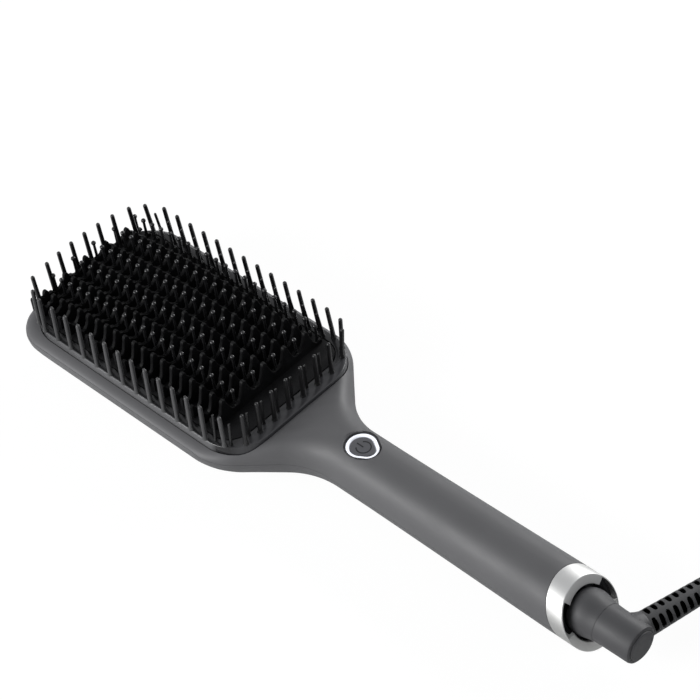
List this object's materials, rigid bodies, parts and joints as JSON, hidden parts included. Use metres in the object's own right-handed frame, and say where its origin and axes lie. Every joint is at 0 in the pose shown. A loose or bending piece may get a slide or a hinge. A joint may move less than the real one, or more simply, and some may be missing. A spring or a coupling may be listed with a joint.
{
  "type": "steam hair straightener brush",
  "caption": "Corded heated hair-straightening brush: wide paddle with black combs and bristles, round grey grip with a lit power button, chrome collar, swivel cord.",
  "frame": {"origin": "middle of the brush's length and width, on the surface that its back lies on", "axes": "+X from the toe of the paddle towards the cord end, +Z out of the bristle side, +Y across to the side where the cord leaves"},
  "size_m": [0.4147, 0.1445, 0.04],
  "materials": {
    "housing_grey": "satin soft-touch",
    "gloss_black": "polished",
    "bristle_black": "satin nylon",
    "coated_heater": "semi-gloss ceramic coating",
    "carrier_resin": "matte",
    "ceramic_white": "fired ceramic",
    "mica": "flaky",
    "steel": "rolled",
    "glass_bead": "glazed",
    "board_green": "solder resist",
    "component_black": "moulded",
    "component_yellow": "moulded",
    "light_white": "translucent",
    "button_grey": "satin",
    "chrome": "polished",
    "swivel_dark": "fine texture",
    "elbow_grey": "satin",
    "brass": "turned",
    "relief_rubber": "matte",
    "wire_white": "sleeve",
    "cord_black": "smooth matte",
    "plug_black": "fine texture",
    "nickel": "nickel plated"
  },
  "bodies": {
    "brush": {"upper_housing": "housing_grey", "rear_cover": "housing_grey", "bristle_frame": "gloss_black", "outer_bristles": "bristle_black", "inner_bristles": "bristle_black", "heater_plate": "coated_heater", "ball_pins": "bristle_black", "heater_carrier": "carrier_resin", "ceramic_heaters": "ceramic_white", "mica_sheet": "mica", "clamp_plate": "steel", "temperature_sensor": "glass_bead", "thermal_fuse": "steel", "carrier_screws": "steel", "board_screws": "steel", "circuit_board": "board_green", "power_relay": "component_black", "film_capacitor": "component_yellow", "fuse_holder": "component_black", "status_lights": "light_white", "push_switch": "component_black", "light_ring": "light_white", "end_collar": "chrome", "swivel_socket": "swivel_dark", "contact_brushes": "brass", "heater_leads": "wire_white", "mains_leads": "wire_white"},
    "button": {"power_button": "button_grey", "switch_plunger": "component_yellow"},
    "swivel": {"swivel_elbow": "elbow_grey", "elbow_cap": "elbow_grey", "retaining_clip": "steel", "slip_rings": "brass", "strain_relief": "relief_rubber", "cord_lead": "cord_black", "cord_coil": "cord_black", "cord_tail": "cord_black", "plug_strain_relief": "relief_rubber", "plug_body": "plug_black", "plug_pins": "nickel"}
  },
  "joints": [
    {"name": "button_press", "type": "slide", "parent": "brush", "child": "button", "axis": [0, 0, -1], "range_m": [0, 0.0008], "stiffness_N_per_m": 900, "springref_m": -0.001},
    {"name": "cord_swivel", "type": "hinge", "parent": "brush", "child": "swivel", "pos_m": [0.125, 0, 0.01195], "axis": [1, 0, 0], "continuous": true}
  ]
}
